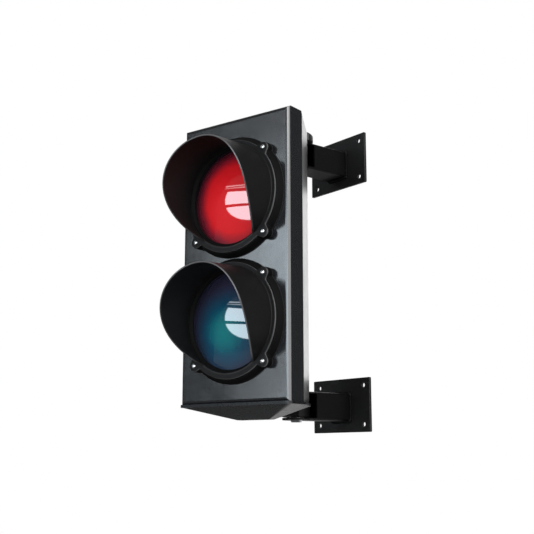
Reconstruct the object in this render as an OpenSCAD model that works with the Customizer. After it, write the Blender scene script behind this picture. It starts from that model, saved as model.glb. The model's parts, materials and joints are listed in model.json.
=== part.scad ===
// Two-aspect signal lantern, red over green, on two swivelling wall brackets.
// Frame: millimetres, +Z up, wall plane y = 0, front toward -Y, origin on the wall
// at the middle of the lower wall plate. The lantern is drawn in its own frame
// (x = 0 at the middle, y = 0 on the face of the front panel, z = 0 at the panel's
// lower edge) and is turned about the bracket pivots by hang().

/* [Housing] */
// Width of the front panel
panel_w = 182.5; // [172:0.5:230]
// Height of the front panel
panel_h = 391; // [360:1:440]
// Depth of the panel's skirt
panel_depth = 30; // [26:0.5:36]
// Wall thickness of the panel and of the tub
wall = 2.5; // [2:0.1:3.2]
// Radius of the panel's front edges
edge_r = 6; // [4:0.5:9]
// Depth of the housing from the panel's face to the tub's back
housing_depth = 76; // [70:1:100]
// What each side of the tub draws in toward the back
side_taper = 22.5; // [8:0.5:26]
// What the top of the tub draws in toward the back
top_taper = 7; // [3:0.5:9]
// Depth of the step inside the panel that carries the gasket
ledge_depth = 7.5; // [5:0.5:9]
// Width of that step
ledge_w = 5; // [4:0.5:7]
// Thickness of the flat gaskets
gasket_t = 2; // [1:0.25:3]
// Drop of the faceted cap under the housing
cap_drop = 19; // [12:1:30]
// Height of the upright lip round the cap
cap_lip = 2.2; // [1:0.2:4]
// What the lip stands out beyond the housing
lip_out = 2; // [1:0.25:4]
// How far the lip reaches up round the housing
lip_up = 1.5; // [0.5:0.25:4]

/* [Lamp units] */
// Distance between the two lamps
lamp_pitch = 169; // [168:1:175]
// How far the middle between the lamps lies below the panel's middle
lamp_drop = 2; // [0:0.5:4]
// Clear radius of the lens
lens_r = 64.5; // [58:0.5:66]
// Rise of the lens dome
lens_rise = 14; // [8:1:20]
// Thickness of the lens
lens_t = 3; // [2:0.25:4]
// Width of the lens's flat rim
lens_rim = 4; // [3:0.25:4.5]
// Radius of the bezel where it stands on the panel
bezel_foot_r = 84; // [80:0.5:84]
// Radius of the bezel's front face
bezel_face_r = 79; // [77:0.5:82]
// Height of the bezel
bezel_h = 9.5; // [8:0.5:20]
// Half the side of the square of lamp screws
screw_half = 57.3; // [56:0.1:59]
// Radius of the ears that take the lamp screws
ear_r = 8; // [7:0.25:10]
// Diameter of the lamp screws
lamp_screw_d = 4; // [3:0.5:5]

/* [Visors] */
// Outer radius of the visor tube at its flange
visor_r = 71.9; // [68:0.1:73]
// Wall of the visor
visor_t = 2.3; // [1.5:0.1:3]
// Length of the visor in front of its flange
visor_len = 64; // [40:1:90]
// What the visor tube draws in over its length
visor_taper = 3.1; // [0:0.1:6]
// Radius of the visor's flange
visor_flange_r = 77.5; // [76:0.5:80]
// Thickness of the visor's flange
visor_flange_t = 2.5; // [2:0.25:4]
// Radius of the sweep that cuts the visor's mouth
mouth_r = 118; // [95:1:150]
// Height of the middle of that sweep above the lamp
mouth_z = 47.8; // [30:0.2:60]

/* [Lamps] */
// Focal length of the reflector dish
dish_focus = 22; // [20:0.5:26]
// Sheet thickness of the reflector
dish_t = 1.2; // [0.8:0.1:2]
// Radius of the glass bulb
bulb_r = 22.5; // [18:0.5:24]
// Radius of the bulb's screw cap
cap_r = 13.2; // [12:0.1:14]
// Length of the screw cap
cap_len = 21; // [18:0.5:24]
// Outer radius of the lamp holder
holder_r = 19; // [17:0.5:22]
// Thickness of the chassis plate behind the lamps
chassis_t = 2; // [1.5:0.25:3]

/* [Wall brackets] */
// Angle that the lantern is turned to on its pivots
swivel = 14.5; // [-45:0.5:45]
// Distance from the wall to the pivots
pivot_out = 91; // [88:1:140]
// Distance from the housing's back to the pivots
lug_reach = 68; // [60:1:90]
// Width of a wall plate
plate_w = 120; // [108:1:160]
// Height of a wall plate
plate_h = 78; // [70:1:110]
// Thickness of a wall plate
plate_t = 4; // [3:0.5:6]
// Distance between the wall holes, across
hole_dx = 94; // [84:1:100]
// Distance between the wall holes, upright
hole_dz = 56; // [50:1:60]
// Diameter of the wall holes
hole_d = 6.5; // [5:0.5:9]
// Distance between the two wall plates
bracket_pitch = 370; // [366:1:374]
// Outer side of the square arm
arm_side = 40; // [34:1:44]
// How far the arm sits below the middle of its plate
arm_drop = 3; // [0:0.5:5]
// Wall of the arm
arm_wall = 3; // [2:0.5:4]
// Diameter of the pivot bolts
pivot_d = 10; // [8:0.5:12]
// Thickness of the thrust washers
washer_t = 1; // [0.5:0.25:2]
// Radius of the lock knob
knob_r = 28; // [20:0.5:30]
// Height of the lock knob
knob_h = 13; // [10:0.5:18]

/* [Fits] */
// Play between parts that slide into each other
slide_gap = 0.3; // [0.2:0.05:0.5]
// Play of a shaft or screw in its bore, on the radius
bore_gap = 0.05; // [0.03:0.01:0.1]
// Play above and below a swivel lug
swivel_gap = 0.2; // [0.15:0.05:0.4]

/* [Hidden] */

eps = 0.01;
turn_fn = 96;
rod_fn = 48;
corner_fn = 32;

// Housing
back_inside = housing_depth - wall;
chassis_y = back_inside - chassis_t;
rim_gap = wall + slide_gap;
rim_y = wall + ledge_depth + gasket_t;
ledge_edge = wall + ledge_w;
back_w = panel_w - 2 * side_taper;
back_h = panel_h - top_taper;
corner_r = 4;
post_r = 5;
post_side_inset = 32;
post_end_inset = 22;
post_x = panel_w / 2 - post_side_inset;
post_z = [post_end_inset, panel_h - post_end_inset];
post_screw_len = 14;
housing_screw_r = 2;
cap_flat = [54, 10.6];                // the level spot under the cap
cap_flat_back = 22;                   // from the level spot to the tub's back
boss_side_inset = 38;
boss_back_inset = 26;
boss_x = panel_w / 2 - boss_side_inset;
boss_y = housing_depth - boss_back_inset;
boss_r = 4;
boss_screw_r = 1.5;
boss_screw_len = 8;
boss_head_t = 2;

// Lamp units, as heights in front of the panel's face
lamp_middle_z = panel_h / 2 - lamp_drop;
lower_lamp_z = lamp_middle_z - lamp_pitch / 2;
upper_lamp_z = lamp_middle_z + lamp_pitch / 2;
foot_h = 1.5;
lens_rim_t = 2.5;
lens_face = gasket_t + lens_rim_t;
lens_seat_r = lens_r + lens_rim;
lens_play = 0.5;
gasket_w = 2;
lip_h = 2;
dome_r = (lens_r * lens_r + lens_rise * lens_rise) / (2 * lens_rise);
dome_mid = lens_face + lens_rise - dome_r;
mouth_ledge = 1;
bevel_r = visor_r - visor_t + mouth_ledge;
panel_hole_r = lens_seat_r - gasket_w;
flange_top = bezel_h + visor_flange_t;
lamp_screw_r = lamp_screw_d / 2;
screw_head_r = 3.4;
screw_head_h = 2.4;
nut_r = 4.4;
nut_t = 3.2;

// Lamps, as depths behind the panel's face
dish_rim_w = 3;
dish_r = panel_hole_r - dish_rim_w;
dish_flange_r = 76;
dish_ear_r = 6.5;
neck_play = 2.3;
dish_neck_r = cap_r + neck_play;
function dish_depth(r) = r * r / (4 * dish_focus);
function dish_y(r) = wall + dish_depth(dish_r) - dish_depth(r);
dish_steps = 14;
collar_len = 3.4;
dish_end = dish_y(dish_neck_r) + collar_len;
// The bulb stands just in front of the dish's focus, or as far back as the chassis lets it.
bulb_lead = 4.3;
bulb_to_cap = 26.5;
neck_len = 12.5;
socket_floor = 2;
bulb_y = min(dish_y(0) - dish_focus - bulb_lead, chassis_y - socket_floor - cap_len - bulb_to_cap);
cap_y = bulb_y + bulb_to_cap;
neck_y = cap_y - neck_len;
bulb_end = cap_y + cap_len;
cap_neck = 0.6;
cap_tip_len = 3.5;
holder_lead = 1;
holder_y = max(cap_y + 1.5 * holder_lead, dish_end + holder_lead);
holder_foot = [62, 3, 16];
holder_screw_x = 25;
holder_screw_r = 2;
terminal = [64, 17, 19];
poles = 5;
pole_pitch = 12;
chassis_w = 90;
chassis_edge = 8;

// Cable gland
gland_drop = 38.5;
gland_z = lamp_middle_z - gland_drop;
gland_hex_r = 13.8;
gland_hex_t = 6;
gland_thread_r = 8.5;
gland_bore_r = 6;
gland_grip = 6;
seal_t = 4;
seal_bore_r = 4;
gland_nut_r = 12;
gland_nut_t = 3;
gland_nut_room = 2.5;
gland_end = 4;
gland_len = gland_hex_t + gland_grip + seal_t + gland_end;

// Brackets
pivot_y = -pivot_out;
lug_pivot_y = housing_depth + lug_reach;
plate_below = 6.5;                    // the lower plate's middle above the panel's edge
lower_arm_z = -arm_drop;
upper_arm_z = bracket_pitch - arm_drop;
pivot_r = pivot_d / 2;
arm_corner_r = 3.5;
fork_inside = arm_side - 2 * arm_wall;
lug_h = fork_inside - 2 * (washer_t + swivel_gap);
lug_eye_inset = 1;
lug_eye_r = arm_side / 2 - lug_eye_inset;
lug_neck_w = 27;
lug_base = [58, 6, 46];
lug_low_inset = 29;
lug_top_inset = 35;
lug_base_z = [lug_low_inset, panel_h - lug_top_inset];
lug_screw = [18, 15];
lug_screw_r = 2.5;
lug_rib_t = 10;
rib_gap = 3;
fork_cut = lug_eye_r + rib_gap;
washer_r = 11;
bolt_head_r = 9;
bolt_head_h = 3;
bolt_nut_r = 9.8;
bolt_nut_h = 8;
knob_lobes = 7;
knob_edge = 2;
knob_roof = 2.5;
wall_hole_r = hole_d / 2;

// ---- frames and small shapes --------------------------------------------------

// Carries the lantern's own frame to its place on the pivots.
module hang() {
    translate([0, pivot_y, -plate_below])
        rotate([0, 0, swivel])
            translate([0, -lug_pivot_y, 0])
                children();
}

// Puts a piece at both lamps' height, or at one.
module at_height(z) {
    translate([0, 0, z])
        children();
}

// Turns a profile of (radius, height in front of the panel) about a lamp's axis.
module turned() {
    rotate([90, 0, 0])
        rotate_extrude($fn = turn_fn)
            children();
}

// A flat ring about a lamp's axis, from height h0 to h1.
module ring(r0, r1, h0, h1) {
    turned()
        translate([r0, h0])
            square([r1 - r0, h1 - h0]);
}

// A round bar along y, from y0 back to y1.
module rod(r, y0, y1, sides = rod_fn) {
    translate([0, y1, 0])
        rotate([90, 0, 0])
            cylinder(r = r, h = y1 - y0, $fn = sides);
}

// An outline in (x, z) made a slab, from y0 back to y1.
module slab(y0, y1) {
    translate([0, y1, 0])
        rotate([90, 0, 0])
            linear_extrude(y1 - y0)
                children();
}

// Rectangle with round corners, its lower edge at z0.
module round_rect(w, h, r, z0 = 0) {
    translate([-w / 2 + r, z0])
        square([w - 2 * r, h]);
    translate([-w / 2, z0 + r])
        square([w, h - 2 * r]);
    for (x = [-1, 1], z = [z0 + r, z0 + h - r])
        translate([x * (w / 2 - r), z])
            circle(r = r, $fn = corner_fn);
}

// Plan of the skirted panel: straight sides and round front corners.
module panel_plan() {
    translate([-panel_w / 2, edge_r])
        square([panel_w, panel_depth - edge_r]);
    translate([-panel_w / 2 + edge_r, 0])
        square([panel_w - 2 * edge_r, edge_r + eps]);
    for (x = [-1, 1])
        translate([x * (panel_w / 2 - edge_r), edge_r])
            circle(r = edge_r, $fn = corner_fn);
}

// Side view of the panel, as depth and height, with round front edges above and below.
module panel_side() {
    translate([edge_r, 0])
        square([panel_depth - edge_r, panel_h]);
    translate([0, edge_r])
        square([edge_r + eps, panel_h - 2 * edge_r]);
    for (z = [edge_r, panel_h - edge_r])
        translate([edge_r, z])
            circle(r = edge_r, $fn = corner_fn);
}

// Plan of the whole housing: the panel's plan and the tub that tapers behind it.
module housing_plan() {
    panel_plan();
    polygon([
        [-panel_w / 2, panel_depth - eps], [panel_w / 2, panel_depth - eps],
        [back_w / 2, housing_depth], [-back_w / 2, housing_depth]
    ]);
}

module at_lamp_screws() {
    for (x = [-1, 1], z = [-1, 1])
        translate([x * screw_half, 0, z * screw_half])
            children();
}

module at_posts() {
    for (x = [-1, 1], z = post_z)
        translate([x * post_x, 0, z])
            children();
}

module at_lug_screws(z) {
    for (x = [-1, 1], dz = [-1, 1])
        translate([x * lug_screw[0], 0, z + dz * lug_screw[1]])
            children();
}

module at_holder_screws() {
    for (x = [-1, 1])
        translate([x * holder_screw_x, 0, 0])
            children();
}

// A pan-head screw along y: its head lies in front of y_seat for dir = -1, behind it for 1.
module screw(r, head_r, head_h, y_seat, y_tip) {
    dir = y_seat > y_tip ? 1 : -1;
    rod(r, min(y_seat, y_tip) - (dir < 0 ? eps : 0), max(y_seat, y_tip) + (dir > 0 ? eps : 0));
    difference() {
        rod(head_r, dir > 0 ? y_seat : y_seat - head_h, dir > 0 ? y_seat + head_h : y_seat);
        // cross slot
        for (a = [0, 90])
            translate([0, dir > 0 ? y_seat + head_h : y_seat - head_h, 0])
                rotate([0, a, 0])
                    cube([1.2 * head_r, head_h, 0.28 * head_r], center = true);
    }
}

// ---- housing --------------------------------------------------------------------

module front_panel() {
    color("#3b3e42")
    difference() {
        union() {
            difference() {
                intersection() {
                    linear_extrude(panel_h)
                        panel_plan();
                    translate([-panel_w / 2 - 1, 0, 0])
                        rotate([90, 0, 90])
                            linear_extrude(panel_w + 2)
                                panel_side();
                }
                slab(wall, panel_depth + 1)
                    round_rect(panel_w - 2 * ledge_edge, panel_h - 2 * ledge_edge, corner_r, ledge_edge);
                slab(wall + ledge_depth, panel_depth + 1)
                    round_rect(panel_w - 2 * wall, panel_h - 2 * wall, corner_r, wall);
            }
            at_posts()
                rod(post_r, wall - eps, back_inside);
        }
        at_posts()
            rod(housing_screw_r + bore_gap, back_inside - post_screw_len, back_inside + 1);
        for (z = [lower_lamp_z, upper_lamp_z])
            at_height(z) {
                rod(panel_hole_r, -1, wall + 1, turn_fn);
                at_lamp_screws()
                    rod(lamp_screw_r + bore_gap, -1, wall + 1);
            }
    }
}

module rear_housing() {
    color("#26282b")
    difference() {
        union() {
            slab(rim_y, panel_depth + eps)
                round_rect(panel_w - 2 * rim_gap, panel_h - 2 * rim_gap, corner_r, rim_gap);
            hull() {
                slab(panel_depth, panel_depth + 1)
                    round_rect(panel_w, panel_h, corner_r);
                slab(housing_depth - 1, housing_depth)
                    round_rect(back_w, back_h, 2 * corner_r);
            }
        }
        slab(rim_y - 1, panel_depth + wall + eps)
            round_rect(panel_w - 2 * (rim_gap + wall), panel_h - 2 * (rim_gap + wall),
                corner_r, rim_gap + wall);
        hull() {
            slab(panel_depth + wall, panel_depth + wall + 1)
                round_rect(panel_w - 3 * wall - 1, panel_h - 2 * wall - 1, corner_r, wall);
            slab(back_inside - 1, back_inside)
                round_rect(back_w - 2 * wall, back_h - 2 * wall, 2 * corner_r - wall, wall);
        }
        at_posts()
            rod(housing_screw_r + bore_gap, back_inside - 1, housing_depth + 1);
        for (z = lug_base_z)
            at_lug_screws(z)
                rod(lug_screw_r + bore_gap, back_inside - 1, housing_depth + 1);
        at_height(gland_z)
            rod(gland_thread_r + slide_gap, back_inside - 1, housing_depth + 1);
        for (x = [-1, 1])
            translate([x * boss_x, boss_y, -1])
                cylinder(r = boss_screw_r + bore_gap, h = wall + 2, $fn = rod_fn);
    }
}

module housing_gasket() {
    color("#141414")
    slab(rim_y - gasket_t, rim_y)
        difference() {
            round_rect(panel_w - 2 * rim_gap, panel_h - 2 * rim_gap, corner_r, rim_gap);
            round_rect(panel_w - 2 * ledge_edge, panel_h - 2 * ledge_edge, corner_r, ledge_edge);
        }
}

module housing_screws() {
    color("#c8c8c8")
    at_posts()
        screw(housing_screw_r, 2 * housing_screw_r, 2.6, housing_depth, back_inside - post_screw_len + 2);
}

// Solid of the faceted cap, drawn in by t on every side.
module cap_body(t) {
    hull() {
        translate([0, 0, -cap_lip])
            linear_extrude(cap_lip + (t > 0 ? 1 : 0))
                offset(delta = -t)
                    housing_plan();
        translate([(t - cap_flat[0]) / 2, housing_depth - cap_flat_back - cap_flat[1] + t / 4, t - cap_drop])
            cube([cap_flat[0] - t, cap_flat[1] - t / 2, eps]);
    }
}

// The band at the top of the cap, which wraps the foot of the housing.
module cap_band() {
    translate([0, 0, -cap_lip])
        linear_extrude(cap_lip + lip_up)
            offset(delta = lip_out)
                housing_plan();
}

module bottom_cap() {
    color("#2b2e33")
    difference() {
        union() {
            difference() {
                union() {
                    cap_body(0);
                    cap_band();
                }
                cap_body(wall);
                linear_extrude(lip_up + 1)
                    offset(delta = slide_gap)
                        housing_plan();
            }
            intersection() {
                cap_body(0);
                for (x = [-1, 1])
                    translate([x * boss_x, boss_y, -cap_drop])
                        cylinder(r = boss_r, h = cap_drop, $fn = rod_fn);
            }
        }
        for (x = [-1, 1])
            translate([x * boss_x, boss_y, -boss_screw_len])
                cylinder(r = boss_screw_r + bore_gap, h = boss_screw_len + 1, $fn = rod_fn);
    }
}

module cap_screws() {
    color("#c8c8c8")
    for (x = [-1, 1])
        translate([x * boss_x, boss_y, 0]) {
            translate([0, 0, -boss_screw_len])
                cylinder(r = boss_screw_r, h = boss_screw_len + wall + eps, $fn = rod_fn);
            translate([0, 0, wall])
                cylinder(r = 2 * boss_screw_r, h = boss_head_t, $fn = rod_fn);
        }
}

module chassis_plate() {
    color("#b9bcbe")
    difference() {
        slab(chassis_y, back_inside)
            round_rect(chassis_w, back_h - 2 * chassis_edge, corner_r, chassis_edge);
        for (z = lug_base_z)
            at_lug_screws(z)
                rod(lug_screw_r + bore_gap, chassis_y - 1, back_inside + 1);
        for (z = [lower_lamp_z, upper_lamp_z])
            at_height(z)
                at_holder_screws()
                    rod(holder_screw_r + bore_gap, chassis_y - 1, back_inside + 1);
        at_height(gland_z)
            rod(gland_nut_r + gland_nut_room, chassis_y - 1, back_inside + 1);
    }
}

module terminal_block() {
    color("#d9d4c4")
    translate([0, chassis_y - terminal[1], lamp_middle_z])
        difference() {
            translate([-terminal[0] / 2, 0, -terminal[2] / 2])
                cube(terminal);
            for (i = [0 : poles - 1])
                translate([(i - (poles - 1) / 2) * pole_pitch, 0, 0]) {
                    for (z = [-1, 1])
                        translate([0, 0, z * 4.5])
                            rod(2.3, -1, 3.5);
                    translate([0, 9, -terminal[2] / 2 - 1])
                        cylinder(r = 2.2, h = terminal[2] + 2, $fn = rod_fn);
                }
        }
}

// ---- cable gland ----------------------------------------------------------------

module cable_gland() {
    color("#1c1c1c")
    at_height(gland_z)
        difference() {
            union() {
                rod(gland_hex_r, housing_depth, housing_depth + gland_hex_t, 6);
                rod(gland_thread_r, back_inside - gland_nut_t - 1,
                    housing_depth + gland_hex_t + gland_grip);
            }
            rod(gland_bore_r, 0, housing_depth + gland_len);
        }
}

module gland_cap_nut() {
    color("#1c1c1c")
    at_height(gland_z)
        translate([0, housing_depth + gland_hex_t, 0])
            difference() {
                intersection() {
                    rod(gland_hex_r - 0.8, 0, gland_grip + seal_t + gland_end, 6);
                    rotate([-90, 0, 0])
                        cylinder(r1 = gland_hex_r + 4, r2 = gland_thread_r + 1,
                            h = gland_grip + seal_t + gland_end, $fn = turn_fn);
                }
                rod(gland_thread_r + bore_gap, -1, gland_grip + seal_t);
                rod(gland_bore_r, 0, gland_grip + seal_t + gland_end + 1);
            }
}

module gland_seal() {
    color("#101010")
    at_height(gland_z)
        translate([0, housing_depth + gland_hex_t + gland_grip, 0])
            difference() {
                rod(gland_thread_r, 0, seal_t);
                rod(seal_bore_r, -1, seal_t + 1);
            }
}

module gland_lock_nut() {
    color("#1c1c1c")
    at_height(gland_z)
        difference() {
            rod(gland_nut_r, back_inside - gland_nut_t, back_inside, 6);
            rod(gland_thread_r + bore_gap, back_inside - gland_nut_t - 1, back_inside + 1);
        }
}

// ---- lamp units -----------------------------------------------------------------

module bezel(z) {
    color("#1d1f22")
    at_height(z)
        difference() {
            union() {
                turned()
                    polygon([
                        [bezel_foot_r, foot_h], [bezel_face_r, bezel_h], [bevel_r, bezel_h],
                        [lens_r + lens_play, lens_face + lip_h], [lens_r + lens_play, lens_face],
                        [lens_seat_r + slide_gap, lens_face], [lens_seat_r + slide_gap, foot_h]
                    ]);
                at_lamp_screws()
                    rod(ear_r, -bezel_h, -foot_h);
            }
            at_lamp_screws()
                rod(lamp_screw_r + bore_gap, -bezel_h - 1, 0);
        }
}

module bezel_gasket(z) {
    color("#141414")
    at_height(z)
        difference() {
            union() {
                ring(lens_seat_r + gasket_w, bezel_foot_r, 0, foot_h);
                at_lamp_screws()
                    rod(ear_r, -foot_h, 0);
            }
            at_lamp_screws()
                rod(lamp_screw_r + bore_gap, -foot_h - 1, 1);
        }
}

module lens(z, shade) {
    color(shade)
    at_height(z) {
        difference() {
            intersection() {
                translate([0, -dome_mid, 0])
                    sphere(r = dome_r, $fn = 2 * turn_fn);
                rod(lens_r, -lens_face - lens_rise - 1, -gasket_t, turn_fn);
            }
            translate([0, -dome_mid, 0])
                sphere(r = dome_r - lens_t, $fn = 2 * turn_fn);
        }
        ring(lens_r - 2.5, lens_seat_r, gasket_t, lens_face);
    }
}

module lens_gasket(z) {
    color("#141414")
    at_height(z)
        ring(panel_hole_r + 0.3, lens_seat_r - 0.2, 0, gasket_t);
}

// Tunnel visor: a slightly tapering tube whose mouth a round sweep cuts away from the
// full length at the top down to nothing at the bottom, on a flange with four ears.
module visor(z) {
    end_h = flange_top + visor_len + 2;
    end_r = visor_r - visor_taper * (end_h - bezel_h) / visor_len;
    color("#1f2124")
    at_height(z)
        difference() {
            union() {
                intersection() {
                    turned()
                        polygon([
                            [visor_r, bezel_h], [end_r, end_h],
                            [end_r - visor_t, end_h], [visor_r - visor_t, bezel_h]
                        ]);
                    translate([0, mouth_r - flange_top - visor_len, mouth_z])
                        rotate([0, 90, 0])
                            cylinder(r = mouth_r, h = 2 * panel_w, center = true, $fn = 2 * turn_fn);
                }
                ring(visor_r - visor_t, visor_flange_r, bezel_h, flange_top);
                at_lamp_screws()
                    rod(ear_r - 0.5, -flange_top, -bezel_h);
            }
            at_lamp_screws()
                rod(lamp_screw_r + bore_gap, -flange_top - 1, 0);
        }
}

module visor_screws(z) {
    color("#d8d8d8")
    at_height(z)
        at_lamp_screws()
            screw(lamp_screw_r, screw_head_r, screw_head_h, -flange_top, wall + dish_t + nut_t + 1);
}

module visor_nuts(z) {
    color("#c8c8c8")
    at_height(z)
        at_lamp_screws()
            difference() {
                rod(nut_r, wall + dish_t, wall + dish_t + nut_t, 6);
                rod(lamp_screw_r + bore_gap, 0, wall + dish_t + nut_t + 1);
            }
}

module reflector(z) {
    radii = [for (i = [0 : dish_steps]) dish_r + (dish_neck_r - dish_r) * i / dish_steps];
    color("#e6e6e6")
    at_height(z)
        difference() {
            union() {
                turned()
                    polygon(concat(
                        [for (r = radii) [r, -dish_y(r)]],
                        [[dish_neck_r, -dish_end], [dish_neck_r + dish_t, -dish_end]],
                        [for (i = [dish_steps : -1 : 0]) [radii[i] + dish_t, -dish_y(radii[i]) - dish_t]],
                        [[dish_flange_r, -wall - dish_t], [dish_flange_r, -wall]]
                    ));
                at_lamp_screws()
                    rod(dish_ear_r, wall, wall + dish_t);
            }
            at_lamp_screws()
                rod(lamp_screw_r + bore_gap, 0, wall + dish_t + 1);
        }
}

module bulb(z) {
    neck_r = sqrt(bulb_r * bulb_r - (neck_y - bulb_y) * (neck_y - bulb_y));
    color("#f4efdd")
    at_height(z) {
        translate([0, bulb_y, 0])
            sphere(r = bulb_r, $fn = turn_fn);
        translate([0, neck_y, 0])
            rotate([-90, 0, 0])
                cylinder(r1 = neck_r, r2 = cap_r - cap_neck, h = neck_len, $fn = turn_fn);
    }
}

module bulb_cap(z) {
    color("#cfcabb")
    at_height(z)
        translate([0, cap_y, 0])
            rotate([-90, 0, 0])
                union() {
                    cylinder(r = cap_r, h = cap_len - cap_tip_len, $fn = turn_fn);
                    translate([0, 0, cap_len - cap_tip_len])
                        cylinder(r1 = cap_r, r2 = cap_r / 2.5, h = cap_tip_len, $fn = turn_fn);
                }
}

module lamp_holder(z) {
    color("#ece8de")
    at_height(z)
        difference() {
            union() {
                rod(holder_r, holder_y, chassis_y, turn_fn);
                slab(chassis_y - holder_foot[1], chassis_y)
                    round_rect(holder_foot[0], holder_foot[2], 5, -holder_foot[2] / 2);
            }
            rod(cap_r + slide_gap, holder_y - 1, bulb_end, turn_fn);
            at_holder_screws()
                rod(holder_screw_r + bore_gap, 0, chassis_y + 1);
        }
}

module holder_screws() {
    color("#c8c8c8")
    for (z = [lower_lamp_z, upper_lamp_z])
        at_height(z)
            at_holder_screws()
                screw(holder_screw_r, 3.6, 2.4, chassis_y - holder_foot[1], back_inside);
}

// ---- swivel lugs on the lantern ---------------------------------------------------

// A foot on the housing's back, a neck and an eye on the pivot; the rib lies on the
// side of the neck where the foot is.
module swivel_lug(base_z, arm_z) {
    side = sign(base_z - arm_z);
    neck_y0 = housing_depth + lug_base[1] / 2;
    rib_end = lug_pivot_y - arm_side / 2 - rib_gap;
    color("#1d1d1f")
    difference() {
        union() {
            slab(housing_depth, housing_depth + lug_base[1])
                round_rect(lug_base[0], lug_base[2], 7, base_z - lug_base[2] / 2);
            translate([-lug_neck_w / 2, neck_y0, arm_z - lug_h / 2])
                cube([lug_neck_w, lug_pivot_y - neck_y0, lug_h]);
            translate([0, lug_pivot_y, arm_z - lug_h / 2])
                cylinder(r = lug_eye_r, h = lug_h, $fn = turn_fn);
            translate([-lug_rib_t / 2, 0, 0])
                rotate([90, 0, 90])
                    linear_extrude(lug_rib_t)
                        polygon([
                            [neck_y0, arm_z], [rib_end, arm_z], [rib_end, arm_z + side * lug_h / 2],
                            [neck_y0 + 4, base_z + side * (lug_base[2] / 2 - 6)],
                            [neck_y0, base_z + side * (lug_base[2] / 2 - 6)]
                        ]);
        }
        translate([0, lug_pivot_y, arm_z - lug_h])
            cylinder(r = pivot_r + bore_gap, h = 2 * lug_h, $fn = turn_fn);
        at_lug_screws(base_z)
            rod(lug_screw_r + bore_gap, housing_depth - 1, housing_depth + lug_base[1] + 1);
    }
}

module lug_screws() {
    color("#c8c8c8")
    for (z = lug_base_z)
        at_lug_screws(z)
            screw(lug_screw_r, 4.6, 3, housing_depth + lug_base[1], chassis_y - 2);
}

// ---- wall brackets ----------------------------------------------------------------

module wall_plate(z) {
    color("#1d1d1f")
    difference() {
        translate([-plate_w / 2, -plate_t, z - plate_h / 2])
            cube([plate_w, plate_t, plate_h]);
        for (x = [-1, 1], dz = [-1, 1])
            translate([x * hole_dx / 2, 0, z + dz * hole_dz / 2])
                rod(wall_hole_r, -plate_t - 1, 1);
    }
}

// Square tube on the plate; in front its side walls are cut back and its upper and
// lower walls go on as the two cheeks of a fork about the pivot.
module arm(z) {
    reach = arm_side;
    color("#1d1d1f")
    difference() {
        union() {
            slab(pivot_y, -plate_t)
                round_rect(arm_side, arm_side, arm_corner_r, z - arm_side / 2);
            translate([0, pivot_y, z - arm_side / 2])
                cylinder(r = arm_side / 2, h = arm_side, $fn = turn_fn);
        }
        translate([-fork_inside / 2, pivot_y - reach, z - fork_inside / 2])
            cube([fork_inside, reach + pivot_out + 1, fork_inside]);
        translate([-arm_side, pivot_y - reach, z - fork_inside / 2])
            cube([2 * arm_side, reach + fork_cut, fork_inside]);
        translate([0, pivot_y, z - arm_side])
            cylinder(r = pivot_r + bore_gap, h = 2 * arm_side, $fn = turn_fn);
    }
}

// Low round head under the fork, shank up through both cheeks, to the height tip.
module pivot_bolt(z, tip) {
    color("#bdbdbd")
    translate([0, pivot_y, z]) {
        translate([0, 0, -arm_side / 2 - eps])
            cylinder(r = pivot_r, h = arm_side / 2 + tip + eps, $fn = turn_fn);
        translate([0, 0, -arm_side / 2 - bolt_head_h])
            cylinder(r1 = bolt_head_r - 2, r2 = bolt_head_r, h = bolt_head_h, $fn = turn_fn);
    }
}

module lower_pivot_nut() {
    color("#bdbdbd")
    translate([0, pivot_y, lower_arm_z + arm_side / 2])
        difference() {
            cylinder(r = bolt_nut_r, h = bolt_nut_h, $fn = 6);
            translate([0, 0, -1])
                cylinder(r = pivot_r + bore_gap, h = bolt_nut_h + 2, $fn = turn_fn);
        }
}

module upper_lock_knob() {
    color("#161616")
    translate([0, pivot_y, upper_arm_z + arm_side / 2])
        difference() {
            rotate_extrude($fn = turn_fn)
                polygon([
                    [0, 0], [knob_r - knob_edge, 0], [knob_r, knob_edge],
                    [knob_r, knob_h - knob_edge], [knob_r - knob_edge, knob_h], [0, knob_h]
                ]);
            for (i = [0 : knob_lobes - 1])
                rotate([0, 0, i * 360 / knob_lobes])
                    translate([knob_r + 2.5, 0, -1])
                        cylinder(r = 5, h = knob_h + 2, $fn = rod_fn);
            translate([0, 0, -1])
                cylinder(r = pivot_r + bore_gap, h = knob_h - knob_roof + 1, $fn = turn_fn);
        }
}

module thrust_washers(z) {
    color("#e8e6df")
    for (dz = [-fork_inside / 2, fork_inside / 2 - washer_t])
        translate([0, pivot_y, z + dz])
            difference() {
                cylinder(r = washer_r, h = washer_t, $fn = turn_fn);
                translate([0, 0, -1])
                    cylinder(r = pivot_r + bore_gap, h = washer_t + 2, $fn = turn_fn);
            }
}

// ---- assembly ---------------------------------------------------------------------

wall_plate(bracket_pitch);  // upper_wall_plate
wall_plate(0);  // lower_wall_plate
arm(upper_arm_z);  // upper_arm
arm(lower_arm_z);  // lower_arm
pivot_bolt(upper_arm_z, arm_side / 2 + knob_h - knob_roof);  // upper_pivot_bolt
pivot_bolt(lower_arm_z, arm_side / 2 + bolt_nut_h + 2);  // lower_pivot_bolt
lower_pivot_nut();
upper_lock_knob();
thrust_washers(upper_arm_z);  // upper_thrust_washers
thrust_washers(lower_arm_z);  // lower_thrust_washers
hang() swivel_lug(lug_base_z[1], upper_arm_z + plate_below);  // upper_swivel_lug
hang() swivel_lug(lug_base_z[0], lower_arm_z + plate_below);  // lower_swivel_lug
hang() lug_screws();
hang() front_panel();
hang() rear_housing();
hang() housing_gasket();
hang() housing_screws();
hang() bottom_cap();
hang() cap_screws();
hang() chassis_plate();
hang() terminal_block();
hang() cable_gland();
hang() gland_cap_nut();
hang() gland_seal();
hang() gland_lock_nut();
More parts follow.
